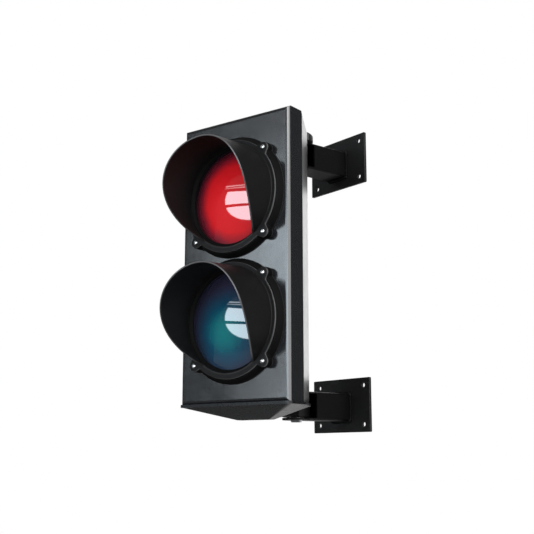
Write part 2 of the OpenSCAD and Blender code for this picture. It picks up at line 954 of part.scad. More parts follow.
hang() bezel(upper_lamp_z);  // red_bezel
hang() bezel(lower_lamp_z);  // green_bezel
hang() bezel_gasket(upper_lamp_z);  // red_bezel_gasket
hang() bezel_gasket(lower_lamp_z);  // green_bezel_gasket
hang() lens(upper_lamp_z, "#d81e2c");  // red_lens
hang() lens(lower_lamp_z, "#12808c");  // green_lens
hang() lens_gasket(upper_lamp_z);  // red_lens_gasket
hang() lens_gasket(lower_lamp_z);  // green_lens_gasket
hang() visor(upper_lamp_z);  // red_visor
hang() visor(lower_lamp_z);  // green_visor
hang() visor_screws(upper_lamp_z);  // red_visor_screws
hang() visor_screws(lower_lamp_z);  // green_visor_screws
hang() visor_nuts(upper_lamp_z);  // red_visor_nuts
hang() visor_nuts(lower_lamp_z);  // green_visor_nuts
hang() reflector(upper_lamp_z);  // red_reflector
hang() reflector(lower_lamp_z);  // green_reflector
hang() bulb(upper_lamp_z);  // red_bulb
hang() bulb(lower_lamp_z);  // green_bulb
hang() bulb_cap(upper_lamp_z);  // red_bulb_cap
hang() bulb_cap(lower_lamp_z);  // green_bulb_cap
hang() lamp_holder(upper_lamp_z);  // red_lamp_holder
hang() lamp_holder(lower_lamp_z);  // green_lamp_holder
hang() holder_screws();
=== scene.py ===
# %% [markdown]
# # A two-aspect signal lantern, dressed
# The CAD frame already holds every solid at its real size. This lesson gives those solids the looks of the
# real lantern: moulded black plastic, powder-coated steel, bright screws and two clear coloured lenses. It
# also builds finer versions of the pieces that the camera looks at most, each as a surface worked out with
# numpy.

# %% Load the frame
import json
import math

import bpy
import numpy as np
from mathutils import Matrix, Vector
from mathutils.bvhtree import BVHTree
from mathutils.geometry import tessellate_polygon


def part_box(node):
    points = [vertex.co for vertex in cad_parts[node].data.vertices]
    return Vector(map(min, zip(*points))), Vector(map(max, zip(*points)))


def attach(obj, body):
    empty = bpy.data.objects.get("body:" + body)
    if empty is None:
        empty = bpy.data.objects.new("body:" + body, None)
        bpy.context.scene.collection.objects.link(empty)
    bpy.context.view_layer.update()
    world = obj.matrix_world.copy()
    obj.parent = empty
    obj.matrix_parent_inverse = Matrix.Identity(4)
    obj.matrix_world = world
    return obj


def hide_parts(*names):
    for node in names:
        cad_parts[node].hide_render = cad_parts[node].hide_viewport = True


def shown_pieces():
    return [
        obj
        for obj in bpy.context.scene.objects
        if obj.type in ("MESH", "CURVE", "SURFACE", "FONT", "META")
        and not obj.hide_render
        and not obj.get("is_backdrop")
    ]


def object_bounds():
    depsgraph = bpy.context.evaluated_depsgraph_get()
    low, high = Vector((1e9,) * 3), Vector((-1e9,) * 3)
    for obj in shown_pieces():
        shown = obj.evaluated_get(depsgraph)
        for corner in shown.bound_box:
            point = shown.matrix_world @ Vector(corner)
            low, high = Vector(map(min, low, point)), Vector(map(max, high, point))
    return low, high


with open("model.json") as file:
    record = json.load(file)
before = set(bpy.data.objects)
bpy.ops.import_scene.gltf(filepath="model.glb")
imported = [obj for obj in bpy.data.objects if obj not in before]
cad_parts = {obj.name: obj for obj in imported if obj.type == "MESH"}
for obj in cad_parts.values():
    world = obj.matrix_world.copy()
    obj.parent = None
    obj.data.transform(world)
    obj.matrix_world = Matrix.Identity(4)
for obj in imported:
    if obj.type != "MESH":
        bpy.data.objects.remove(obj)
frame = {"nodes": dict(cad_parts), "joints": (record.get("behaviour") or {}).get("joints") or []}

CAD_BOX = [list(corner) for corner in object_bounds()]
MM = 0.001

# %% [markdown]
# ## The lantern's own axes
# The lantern hangs on two pivots and is turned a little away from square. Its pieces are easiest to shape
# in axes of its own: x to the right, y back from the panel's face, z up from the lamp's middle. A parent
# object could turn them, but a finished piece sits unturned at the origin with its place in its mesh. So
# everything made there is turned into the frame's axes as one array. The panel's face and the lamps'
# heights are measured on the CAD nodes. Each cell below starts with the sizes of its own piece, in
# millimetres.

# %% Lantern axes
SWIVEL = math.radians(14.5)
PIVOT = np.array(frame["joints"][0]["pos_m"])
TURN = np.array(Matrix.Rotation(SWIVEL, 3, "Z"))


def vertices_of(piece):
    """All vertices of a piece as one array."""
    flat = np.empty(3 * len(piece.data.vertices))
    piece.data.vertices.foreach_get("co", flat)
    return flat.reshape(-1, 3)


def lantern_box(node):
    """Lowest and highest corner of a node in the lantern's axes: points turned back about the pivot line."""
    turned = (vertices_of(frame["nodes"][node]) - PIVOT) @ TURN
    return turned.min(0), turned.max(0)


FACE_Y = lantern_box("front_panel")[0][1]
LAMP_Z = {"red": sum(lantern_box("red_lens"))[2] / 2, "green": sum(lantern_box("green_lens"))[2] / 2}


def from_lantern(points, lamp_z=0.0):
    """Point in the frame = pivot + turn * (x, face + y, lamp height + z)."""
    local = np.asarray(points, float) + np.array([0.0, FACE_Y, lamp_z])
    return PIVOT + local @ TURN.T


print("panel face", round(FACE_Y, 4), "lamps at", {k: round(v, 4) for k, v in LAMP_Z.items()})

# %% [markdown]
# ## The camera and the image points
# The camera was found by matching the panel's corners, the lamp screws and the holes of the wall plates. It
# could be nudged by eye, but named points keep it honest: each image point names a feature and where its
# middle shows in the photograph, in pixels. The script measures at the end how far each feature of the
# finished model lies from its point.

# %% Camera
PHOTO_W, PHOTO_H = 534, 534
CAMERA_AT = (1.0354, -0.9759, -0.0739)
HEADING, PITCH, LENS, SENSOR = 51.23, 11.316, 63.96, 36.0

camera_data = bpy.data.cameras.new("camera")
camera_data.lens, camera_data.sensor_width, camera_data.sensor_fit = LENS, SENSOR, "AUTO"
camera = bpy.data.objects.new("camera", camera_data)
camera.location = CAMERA_AT
camera.rotation_euler = (math.radians(90 + PITCH), 0.0, math.radians(HEADING))
bpy.context.scene.collection.objects.link(camera)
bpy.context.scene.camera = camera
bpy.context.view_layer.update()
print("camera at", CAMERA_AT)

# %% Image points
POINTS = {
    "left_edge": (158.4, None),
    "right_edge": (370.7, None),
    "top_edge": (None, 106.2),
    "bottom_edge": (None, 431.7),
    "red_screw_top_right": (262.3, 147.0),
    "red_screw_low_right": (262.0, 231.0),
    "red_screw_low_left": (195.3, 242.5),
    "green_screw_top_right": (262.0, 272.0),
    "green_screw_low_right": (261.8, 361.0),
    "green_screw_low_left": (193.5, 366.0),
}
print(len(POINTS), "image points")

# %% [markdown]
# ## Surfaces from arrays
# A moulded piece is a closed skin. It could be built from a cylinder with modifiers, but ears and slanting
# mouths would each need a tool of their own. Here a skin is a grid of points: a profile runs one way and
# the sweep round the lamp runs the other way. All of it happens on whole arrays, so there is no loop over
# points.

# %% Meshes from arrays
def link_mesh(name, mesh, smooth=True):
    """An object at the origin that shows the mesh."""
    mesh.polygons.foreach_set("use_smooth", np.full(len(mesh.polygons), smooth))
    mesh.update()
    made = bpy.data.objects.new(name, mesh)
    bpy.context.scene.collection.objects.link(made)
    return made


def solid_from(name, shells, edge=None):
    """One mesh object from closed shells of (points, quads, triangles), all made to face outward.

    edge is how much painted highlight each point gets, from 0 to 1, and becomes an attribute for the
    material. A shell's volume is the sum of a . (b x c) / 6 over its triangles, and where it is negative, the
    faces are reversed."""
    points, faces, start = [], [], 0
    for shell_points, quads, triangles in shells:
        halves = np.concatenate([quads[:, [0, 1, 2]], quads[:, [0, 2, 3]], triangles])
        a, b, c = (shell_points[halves[:, i]] for i in range(3))
        step = 1 if np.einsum("ij,ij->i", a, np.cross(b, c)).sum() > 0 else -1
        points.append(shell_points)
        faces += (quads[:, ::step] + start).tolist() + (triangles[:, ::step] + start).tolist()
        start += len(shell_points)
    mesh = bpy.data.meshes.new(name)
    mesh.from_pydata(np.concatenate(points).tolist(), [], faces)
    if edge is not None:
        mesh.attributes.new("edge", "FLOAT", "POINT").data.foreach_set("value", edge.ravel())
    return link_mesh(name, mesh)


def skin(grid, joined=False):
    """A closed shell from rings of points, grid[ring, place].

    Each ring closes on itself. The first and last ring are joined to each other, or each closes on a
    pole: a point at the mean of the ring."""
    rings, around = grid.shape[:2]
    index = np.arange(rings * around).reshape(rings, around)
    beside = np.roll(index, -1, axis=1)
    above, above_beside = np.roll(index, -1, axis=0), np.roll(beside, -1, axis=0)
    used = slice(None) if joined else slice(0, rings - 1)
    quads = np.stack([index[used], beside[used], above_beside[used], above[used]], -1).reshape(-1, 4)
    points = grid.reshape(-1, 3)
    if joined:
        return points, quads, np.empty((0, 3), int)
    poles = np.stack([grid[0].mean(0), grid[-1].mean(0)])
    first = np.stack([np.full(around, len(points)), beside[0], index[0]], -1)
    last = np.stack([np.full(around, len(points) + 1), index[-1], beside[-1]], -1)
    return np.concatenate([points, poles]), quads, np.concatenate([first, last])


print("mesh tools ready")

# %% [markdown]
# ## Profiles with rounded corners
# No moulded edge is sharp. Each could be bevelled afterwards, but a profile that is round from the start
# gives clean bands of faces. Corners of a profile are rounded by a curve that leaves each straight at the
# same distance from the corner.

# %% Rounded profiles and the sweep round a lamp
CORNER_PLACES = 6
AROUND = np.linspace(0, 2 * math.pi, 960, endpoint=False)


def rounded(corners, radii):
    """A closed profile with rounded corners, as an array of (place along, place around, coordinate).

    corners[i, j] is corner i at place j around, and radii[i] is how far the rounding starts from it, at
    most 0.45 of the shorter side. The rounding is the curve (1-s)^2 start + 2 s (1-s) corner + s^2 end."""
    corners = np.asarray(corners, float)
    before, after = np.roll(corners, 1, axis=0), np.roll(corners, -1, axis=0)
    s = np.linspace(0, 1, CORNER_PLACES)[None, :, None, None]
    to_before, to_after = before - corners, after - corners
    length_before = np.linalg.norm(to_before, axis=-1, keepdims=True)
    length_after = np.linalg.norm(to_after, axis=-1, keepdims=True)
    reach = np.minimum(np.reshape(radii, (-1, 1, 1)), 0.45 * np.minimum(length_before, length_after))
    start = corners + to_before / np.maximum(length_before, 1e-9) * reach
    end = corners + to_after / np.maximum(length_after, 1e-9) * reach
    curve = (1 - s) ** 2 * start[:, None] + 2 * s * (1 - s) * corners[:, None] + s ** 2 * end[:, None]
    return curve.reshape(-1, *corners.shape[1:])


def painted_highlight(pairs, count):
    """How much painted highlight each point of a rounded profile gets, repeated count times round.

    Over a corner's rounding it goes evenly from the first value of its pair to the second."""
    s = np.linspace(0, 1, CORNER_PLACES)
    along = np.concatenate([start + (end - start) * s for start, end in pairs])
    return np.repeat(along[:, None], count, axis=1)


def swept(profile, angles):
    """Points in the lantern's axes from (radius, height) at each angle.

    x = r cos a, y = -h and z = r sin a."""
    radius, height = profile[..., 0], profile[..., 1]
    return np.stack([radius * np.cos(angles), -height, radius * np.sin(angles)], -1) * MM


print("profile tools ready, with", len(AROUND), "places around a lamp")

# %% [markdown]
# ## Shader maths as expressions
# A material is a network of nodes, and most of them do plain sums. They could be added and linked one by
# one, but a formula is easier to read. One small class wraps a socket, so that a sum in Python adds the
# Math node for it. Every other node comes from its one method, node().

# %% A socket that can be reckoned with
MIX_LOW, MIX_HIGH, MIX_COLOUR = 6, 7, 2


class Wire:
    """A socket of a node tree. Sums of wires add Math nodes, and node() adds any other node."""

    def __init__(self, tree, socket=None):
        self.tree, self.socket = tree, socket

    def node(self, kind, settings, sockets, out=0):
        """Adds a node: its settings first, then the values or wires of its sockets, and gives one output."""
        made = self.tree.nodes.new("ShaderNode" + kind)
        for key, value in settings.items():
            if key == "stops":
                ramp = made.color_ramp.elements
                while len(ramp) < len(value):
                    ramp.new(0.5)
                for element, (place, colour) in zip(ramp, value):
                    element.position, element.color = place, (*colour, 1.0)
            else:
                setattr(made, key, value)
        for key, value in sockets.items():
            if isinstance(value, Wire):
                self.tree.links.new(value.socket, made.inputs[key])
            else:
                made.inputs[key].default_value = value
        return Wire(self.tree, made.outputs[out])

    def maths(self, operation, first, second):
        """A Math node on two wires or numbers."""
        return self.node("Math", {"operation": operation}, {0: first, 1: second})

    def __add__(self, other):
        return self.maths("ADD", self, other)

    def __radd__(self, other):
        return self.maths("ADD", other, self)

    def __sub__(self, other):
        return self.maths("SUBTRACT", self, other)

    def __rsub__(self, other):
        return self.maths("SUBTRACT", other, self)

    def __mul__(self, other):
        return self.maths("MULTIPLY", self, other)

    def __rmul__(self, other):
        return self.maths("MULTIPLY", other, self)

    def __truediv__(self, other):
        return self.maths("DIVIDE", self, other)

    def __pow__(self, other):
        return self.maths("POWER", self, other)

    def above(self, limit, soft):
        """0 below the limit, 1 above it, with a soft step of the given width."""
        smooth = {"interpolation_type": "SMOOTHSTEP"}
        return self.node("MapRange", smooth, {"Value": self, "From Min": limit, "From Max": limit + soft})

    def noise(self, place, scale, detail=2.0, rough=0.5):
        """Soft noise from 0 to 1, with its cells about 1 / scale metres wide."""
        sockets = {"Vector": place, "Scale": scale, "Detail": detail, "Roughness": rough}
        return self.node("TexNoise", {}, sockets)

    def tint(self, amount, low, high):
        """A colour from low, where amount is 0, to high, where it is 1."""
        blend = {"Factor": amount, MIX_LOW: (*low, 1.0), MIX_HIGH: (*high, 1.0)}
        return self.node("Mix", {"data_type": "RGBA"}, blend, out=MIX_COLOUR)

    def bump(self, height, distance, over=None):
        """A normal bent by a height from 0 to 1 that stands for distance metres.

        Where another bump is given, this one lies over it."""
        below = {} if over is None else {"Normal": over}
        return self.node("Bump", {}, {"Height": height, "Distance": distance, **below})


print("shader maths ready")

# %% A new finish
def new_finish(name, constants):
    """A material with one Principled shader, whose constants are set on its own sockets."""
    material = bpy.data.materials.new(name)
    material.use_nodes = True
    shader = material.node_tree.nodes["Principled BSDF"]
    for key, value in constants.items():
        shader.inputs[key].default_value = value
    wire = Wire(material.node_tree)
    place = wire.node("TexCoord", {}, {}, out="Object")
    return material, shader, wire, place


def feed(shader, wire, links):
    """Links wires to the shader's sockets by name."""
    for key, value in links.items():
        wire.tree.links.new(value.socket, shader.inputs[key])


print("finishes can be made")

# %% [markdown]
# ## Moulded plastic
# The housing, the visors and the bezels are injection moulded and black right through. What makes such
# plastic look real is the surface: a fine spark-eroded grain, a slow unevenness that bends reflections, and
# a few dull patches where dust has settled. A picture of plastic could be wrapped round each piece, but
# noise on Object coordinates fits any shape and has no seams. One function makes them all, with the grain
# and the gloss of each piece. The pale plastics and the glazed holders inside come from it too.

# %% Plastics
MICRON = 1e-6
# A lighter grey, painted on rims and edges as a highlight.
HIGHLIGHT_GREY = (0.11, 0.108, 0.113, 1.0)


def moulded(name, low, high, rough, grain, level=0.5, ior=1.5):
    """A plastic: colour noise between low and high, gloss noise, fine grain and a slow wave.

    grain holds the grain's cells per metre, its depth and the wave's height, both in microns. Where a mesh
    has an "edge" value, the plastic is painted a lighter grey there as a highlight, and a coat gives it a
    soft gloss."""
    constants = {"Specular IOR Level": level, "IOR": ior, "Coat Roughness": 0.22, "Coat IOR": 2.2}
    material, shader, wire, place = new_finish(name, constants)
    cells, depth, wave = grain
    edge = wire.node("Attribute", {"attribute_name": "edge"}, {}, out="Fac")
    cloud = wire.noise(place, 22.0, 4.0)
    dust = wire.noise(place, 130.0, 5.0, 0.65)
    slow = wire.bump(wire.noise(place, 16.0, 1.0), wave * MICRON)
    body = wire.tint(cloud * 0.6 + dust * 0.4, low, high)
    # Painted highlight: where the edge value is high, the lighter grey replaces the plastic's colour.
    blend = {"Factor": edge, MIX_LOW: body, MIX_HIGH: HIGHLIGHT_GREY}
    feed(shader, wire, {
        "Base Color": wire.node("Mix", {"data_type": "RGBA"}, blend, out=MIX_COLOUR),
        "Roughness": dust * 0.12 + cloud * 0.08 + (rough - 0.1),
        "Coat Weight": edge * 0.6,
        "Normal": wire.bump(wire.noise(place, cells, 2.0), depth * MICRON, slow),
    })
    return material


def grey(tone):
    """A neutral colour."""
    return (tone, tone, tone)


panel_black = moulded(
    "panel_black", (0.009, 0.010, 0.0118), (0.014, 0.0158, 0.0185), 0.15, (900, 20, 200), ior=1.95)
cap_black = moulded("cap_black", (0.007, 0.0078, 0.009), (0.012, 0.013, 0.015), 0.28, (900, 30, 200), 0.3)
housing_black = moulded(
    "housing_black", (0.007, 0.007, 0.008), (0.012, 0.012, 0.013), 0.36, (900, 30, 300), 0.9)
visor_black = moulded("visor_black", grey(0.004), grey(0.008), 0.55, (1400, 50, 200), 0.22)
bezel_black = moulded("bezel_black", grey(0.002), grey(0.004), 0.65, (1200, 40, 200), 0.10)
nylon_black = moulded("nylon_black", grey(0.010), grey(0.020), 0.5, (1600, 60, 200))
rubber_black = moulded("rubber_black", grey(0.012), grey(0.022), 0.75, (1100, 50, 200), 0.3)
cream_plastic = moulded("cream_plastic", (0.62, 0.58, 0.46), (0.70, 0.67, 0.55), 0.45, (900, 30, 200))
natural_nylon = moulded("natural_nylon", (0.70, 0.68, 0.60), (0.78, 0.76, 0.70), 0.4, (900, 30, 200))
glazed_ceramic = moulded("glazed_ceramic", (0.74, 0.72, 0.66), (0.82, 0.80, 0.75), 0.2, (300, 20, 200))
print("plastics ready")

# %% [markdown]
# ## Powder-coated steel
# The plates, arms and lugs are steel under a baked powder. Powder leaves orange peel: shallow dimples one or
# two millimetres wide. They could be modelled, but they are so shallow that a bump does as well. Smooth
# voronoi cells give the dimples, and a finer noise changes the gloss from spot to spot. The arms are the same
# coat, but lying in shade they came out darker than the plates in the photograph, so a second, darker copy
# paints that shade on the arms, the lugs and the welds.

# %% Powder coat
def powder_coat(name, low, high, level):
    """Baked powder: dimples from smooth voronoi cells over a slow noise."""
    material, shader, wire, place = new_finish(name, {"Specular IOR Level": level})
    sockets = {"Vector": place, "Scale": 620.0, "Smoothness": 1.0}
    cells = wire.node("TexVoronoi", {"feature": "SMOOTH_F1"}, sockets)
    cloud = wire.noise(place, 30.0, 4.0)
    speck = wire.noise(place, 1900.0, 1.0)
    feed(shader, wire, {
        "Base Color": wire.tint(cloud, low, high),
        "Roughness": speck * 0.1 + cloud * 0.12 + 0.36,
        "Normal": wire.bump(cells + speck * 0.25, 0.00012),
    })
    return material


plate_coat = powder_coat("plate_coat", grey(0.005), grey(0.009), 0.45)
# A darker copy of the plates' coat: painted shade for the arms, the lugs and the welds.
shaded_arm_coat = powder_coat("shaded_arm_coat", grey(0.002), grey(0.004), 0.14)
print("powder coats ready")

# %% [markdown]
# ## Bare metals
# Zinc plate, stainless screws, nickelled brass and the lamp's mirror are all metallic, and differ in colour
# and in how even they are. Zinc shows small crystals, a screw shows fine scratches, and the mirror is
# nearly perfect. Each could have a network of its own, but one function makes them all, because only the
# sizes and the tones differ.

# %% Metals
def bare_metal(name, low, high, rough, spread, cell_scale):
    """Metal: crystals from voronoi cells change the tone, and noise changes the gloss."""
    material, shader, wire, place = new_finish(name, {"Metallic": 1.0})
    cells = wire.node("TexVoronoi", {}, {"Vector": place, "Scale": cell_scale}, out="Color")
    tone = wire.node("RGBToBW", {}, {"Color": cells})
    cloud = wire.noise(place, 90.0, 5.0, 0.6)
    scratch = wire.noise(place, cell_scale * 2.0, 3.0)
    feed(shader, wire, {
        "Base Color": wire.tint(tone * 0.5 + cloud * 0.5, low, high),
        "Roughness": cloud * spread + tone * (spread / 2) + (rough - spread / 2),
        "Normal": wire.bump(scratch, 0.00001),
    })
    return material


zinc_plate = bare_metal("zinc_plate", (0.48, 0.49, 0.51), (0.66, 0.67, 0.69), 0.30, 0.14, 380.0)
bright_screw = bare_metal("bright_screw", (0.72, 0.72, 0.73), (0.86, 0.86, 0.87), 0.18, 0.08, 700.0)
lamp_mirror = bare_metal("lamp_mirror", (0.86, 0.86, 0.87), (0.92, 0.92, 0.93), 0.05, 0.03, 120.0)
nickel_brass = bare_metal("nickel_brass", (0.56, 0.48, 0.30), (0.70, 0.62, 0.44), 0.28, 0.1, 300.0)
print("metals ready")

# %% [markdown]
# ## Coloured lenses and lamp glass
# Each lens is one clear moulding, coloured right through. It could be plain coloured glass, but then its tone
# would hang on what the mirror behind it shows. So its own colour runs through three tones from a bright core
# to a dark rim, darkest toward the top: painted shade of the visor over the lens. A clear coat carries the
# sharp reflection, and only a little of the light goes through.

# %% Lens and glass
def coloured_lens(name, lamp, colours, middle, core, rim):
    """Clear coloured plastic, in three colours from the core to the rim, with the visor's shade painted in.

    The share runs from 0 at the core's radius to 1 at the rim's. Both are counted in lens radii about the
    given middle (right, up), which lies below the lamp's own, because the visor shades the upper part most:
    the darker tones are painted shade."""
    constants = {"IOR": 1.49, "Specular IOR Level": 0.0, "Transmission Weight": 0.06,
                 "Coat Weight": 1.0, "Coat Roughness": 0.015, "Coat IOR": 2.4}
    material, shader, wire, place = new_finish(name, constants)
    low, high = lantern_box(f"{lamp}_lens")
    size = (high[0] - low[0]) / 2
    centre = from_lantern([middle[0] * size, 0.0, middle[1] * size], LAMP_Z[lamp])
    reach = wire.node("VectorMath", {"operation": "DISTANCE"}, {0: place, 1: tuple(centre)}, out="Value")
    cloud = wire.noise(place, 60.0, 3.0)
    share = (reach / size + cloud * 0.1 - 0.05 - core) / (rim - core)
    stops = [(place_on, colour) for place_on, colour in zip((0.0, 0.5, 1.0), colours)]
    feed(shader, wire, {
        "Base Color": wire.node("ValToRGB", {"stops": stops}, {"Fac": share}),
        "Roughness": cloud * 0.06 + 0.06,
    })
    return material


# The darker tones toward the rim and the top are painted shade of the visor.
red_glass = coloured_lens("red_glass", "red",
                          [(0.82, 0.014, 0.022), (0.27, 0.014, 0.032), (0.020, 0.011, 0.020)],
                          (0.14, -0.09), 0.68, 1.06)
green_glass = coloured_lens("green_glass", "green",
                            [(0.000, 0.225, 0.240), (0.004, 0.064, 0.122), (0.034, 0.034, 0.072)],
                            (-0.02, -0.20), 0.18, 0.88)


def frosted(name):
    """Frosted lamp glass: white, slightly see-through, with a faint bloom."""
    constants = {"IOR": 1.5, "Transmission Weight": 0.4, "Coat Weight": 0.6}
    material, shader, wire, place = new_finish(name, constants)
    bloom = wire.noise(place, 140.0, 3.0)
    feed(shader, wire, {
        "Base Color": wire.tint(bloom, (0.86, 0.84, 0.78), (0.94, 0.93, 0.90)),
        "Roughness": bloom * 0.2 + 0.3,
    })
    return material


bulb_glass = frosted("bulb_glass")
print("lenses and glass ready")

# %% [markdown]
# ## Dressing the CAD nodes
# Every node gets the finish of the real piece. A finish could be named for each of them, but rules by the
# piece's name serve both lamps and both brackets at once. They go from the particular to the general, and
# the first that fits is taken, so a lens's gasket is rubber and not glass.

# %% Dress the nodes
DRESS = [
    ("gasket", rubber_black), ("gland_seal", rubber_black),
    ("red_lens", red_glass), ("green_lens", green_glass),
    ("visor_screws", bright_screw), ("visor_nuts", zinc_plate),
    ("visor", visor_black), ("bezel", bezel_black), ("front_panel", panel_black),
    ("rear_housing", housing_black), ("bottom_cap", cap_black),
    ("reflector", lamp_mirror), ("bulb_cap", nickel_brass), ("bulb", bulb_glass),
    ("lamp_holder", glazed_ceramic), ("terminal_block", cream_plastic), ("washers", natural_nylon),
    ("lock_knob", nylon_black), ("gland", nylon_black), ("pivot", zinc_plate), ("screws", zinc_plate),
    ("chassis", zinc_plate), ("plate", plate_coat), ("arm", shaded_arm_coat), ("lug", shaded_arm_coat),
]


def dress(piece, finish):
    """Gives a piece one finish."""
    piece.data.materials.clear()
    piece.data.materials.append(finish)


for node, piece in frame["nodes"].items():
    dress(piece, next(finish for part, finish in DRESS if part in node))
print("dressed", len(frame["nodes"]), "nodes")

# %% [markdown]
# ## Visors
# Each visor is a slightly tapering tube on a flat flange with four ears. A round sweep, seen from the side as
# one arc, cuts its mouth from the full length at the top down to nothing at the bottom. A Boolean could cut
# it, but would leave a sharp rim. Here the mouth's height is a formula, so the rim, the foot and the ears are
# rounded as a mould leaves them, and the rim is what catches the light in the photograph. A lighter grey
# along the rim and the flange's edge is a painted highlight.

# %% Visors
def heights(node):
    """How far a node's front and back stand off the panel, in millimetres."""
    low, high = lantern_box(node)
    return (FACE_Y - low[1]) / MM, (FACE_Y - high[1]) / MM


VISOR_TIP, FLANGE_FOOT = heights("red_visor")
FLANGE_R, FLANGE_T = 77.5, 2.5
FLANGE_TOP = FLANGE_FOOT + FLANGE_T
TUBE_R, TUBE_T, TUBE_TAPER, TUBE_LEN = 71.9, 2.3, 3.1, VISOR_TIP - FLANGE_TOP
MOUTH_R, MOUTH_Z, MOUTH_STEP = 118.0, 47.8, 0.25
SCREW_SQUARE, EAR_R = 57.3, 7.5
EAR_PLACE = SCREW_SQUARE * math.sqrt(2)
EAR_KEPT, EAR_FILLET = 0.97, math.radians(2.6)
# How the rim's painted highlight fades: the mouth's height for full strength, its least share, and the angle
# where it is strongest.
HIGHLIGHT_HEIGHT, HIGHLIGHT_LEAST, HIGHLIGHT_SIDE = 12.0, 0.15, 0.5


def with_ears(radius, ear_r, angles=AROUND):
    """The radius at each angle, grown where one of the four ears sticks out further.

    An ear is a circle of radius e at distance d: seen from the lamp's middle it reaches d cos(a) +
    sqrt(e^2 - d^2 sin^2(a)), where a is the angle from the ear's middle. Past its edge a short curve
    leads back to the flange."""
    off = np.abs(angles % (math.pi / 2) - math.pi / 4)
    kept = EAR_KEPT * math.asin(ear_r / EAR_PLACE)
    inside = np.minimum(off, kept)
    reach = EAR_PLACE * np.cos(inside) + np.sqrt(ear_r ** 2 - (EAR_PLACE * np.sin(inside)) ** 2)
    fillet = np.clip(1 - (off - kept) / EAR_FILLET, 0, 1) ** 2
    return radius + np.maximum(reach - radius, 0) * np.where(off < kept, 1, fillet)


def mouth_height(z):
    """How far the mouth stands off the panel at height z on the tube, never below the flange.

    The sweep is a circle of radius R about the height c, so the mouth lies R - sqrt(R^2 - (z - c)^2)
    behind its tip."""
    inside = np.maximum(MOUTH_R ** 2 - (z - MOUTH_Z) ** 2, 0)
    return np.maximum(VISOR_TIP - MOUTH_R + np.sqrt(inside), FLANGE_TOP + MOUTH_STEP)


def tube_radius(height, inner):
    """The tube draws in evenly with the height above the flange's foot."""
    return TUBE_R - inner - TUBE_TAPER * (height - FLANGE_FOOT) / TUBE_LEN


def rim_corner(inner):
    """(radius, height) of the mouth's inner or outer corner at each angle, settled in a few rounds."""
    height = np.full(len(AROUND), VISOR_TIP)
    for _ in range(6):
        radius = tube_radius(height, inner)
        height = mouth_height(radius * np.sin(AROUND))
    return np.stack([radius, height], -1)


def ring_corner(radius, height):
    """The same radius and height all round."""
    return np.stack([np.broadcast_to(radius, AROUND.shape), np.full(len(AROUND), height)], -1)


def make_visor(lamp):
    """A visor as one closed skin: rim, outer wall, flange with ears, foot, inner wall.

    Its rim and its flange's edge carry a painted highlight. On the rim it fades where the mouth comes down to
    the flange, and is strongest a little above the rim's right side, where the light falls."""
    flange = with_ears(FLANGE_R, EAR_R)
    corners = np.stack([
        rim_corner(TUBE_T), rim_corner(0.0), ring_corner(tube_radius(FLANGE_TOP, 0.0), FLANGE_TOP),
        ring_corner(flange, FLANGE_TOP), ring_corner(flange, FLANGE_FOOT),
        ring_corner(TUBE_R - TUBE_T, FLANGE_FOOT),
    ])
    profile = rounded(corners, [0.9, 1.0, 1.6, 0.7, 0.2, 0.4])
    # Painted highlight along the rim and the flange's edge, faded low on the rim and strongest toward its
    # right side.
    edge = painted_highlight([(0, 1), (1, 0), (0, 0), (0, 1), (1, 0), (0, 0)], len(AROUND))
    low_rim = np.clip((corners[1, :, 1] - FLANGE_TOP) / HIGHLIGHT_HEIGHT, HIGHLIGHT_LEAST, 1)
    edge[:2 * CORNER_PLACES] *= low_rim * (0.7 + 0.3 * np.cos(AROUND - HIGHLIGHT_SIDE))
    shell = skin(from_lantern(swept(profile, AROUND), LAMP_Z[lamp]), True)
    piece = solid_from(f"{lamp}_visor_shell", [shell], edge)
    dress(piece, visor_black)
    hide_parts(f"{lamp}_visor")
    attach(piece, "lantern")
    return piece


VISORS = {lamp: make_visor(lamp) for lamp in LAMP_Z}
print("visors", {lamp: len(piece.data.polygons) for lamp, piece in VISORS.items()})

# %% [markdown]
# ## Bezels
# The bezel is the ring that holds the lens on the panel. Its outside slopes a little, a bevel leads down to
# the lens, and four posts carry the ears of the visor. It could be a ring with four cylinders joined to it,
# but the sweep that made the visor's flange gives ring and posts in one skin.

# %% Bezels
BEZEL_R, SHOULDER_R, BEVEL_R, LIP_R, POCKET_R, POST_R = 84.0, 79.0, 70.6, 65.0, 68.8, 8.0
BEZEL_FOOT, LIP_FOOT, LIP_TOP = 1.5, 4.5, 6.5


def make_bezel(lamp):
    """A bezel as one closed skin round the lens."""
    corners = np.stack([
        ring_corner(with_ears(BEZEL_R, POST_R), BEZEL_FOOT),
        ring_corner(with_ears(SHOULDER_R, POST_R), FLANGE_FOOT),
        ring_corner(BEVEL_R, FLANGE_FOOT), ring_corner(LIP_R, LIP_TOP), ring_corner(LIP_R, LIP_FOOT),
        ring_corner(POCKET_R, LIP_FOOT), ring_corner(POCKET_R, BEZEL_FOOT),
    ])
    profile = rounded(corners, [0.4, 1.2, 1.0, 0.6, 0.3, 0.3, 0.3])
    piece = solid_from(f"{lamp}_bezel_ring", [skin(from_lantern(swept(profile, AROUND), LAMP_Z[lamp]), True)])
    dress(piece, bezel_black)
    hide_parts(f"{lamp}_bezel")
    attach(piece, "lantern")
    return piece


BEZELS = {lamp: make_bezel(lamp) for lamp in LAMP_Z}
print("bezels", {lamp: len(piece.data.polygons) for lamp, piece in BEZELS.items()})

# %% [markdown]
# ## Lenses
# A lens is smooth outside, so that rain washes it clean, and fluted inside. The flutes are upright
# half-rounds that spread the light to the sides. It could be a cap of a sphere with Solidify, but then both
# sides would be alike. A profile from the front pole over the rim to the back pole lets each side have its
# own shape.

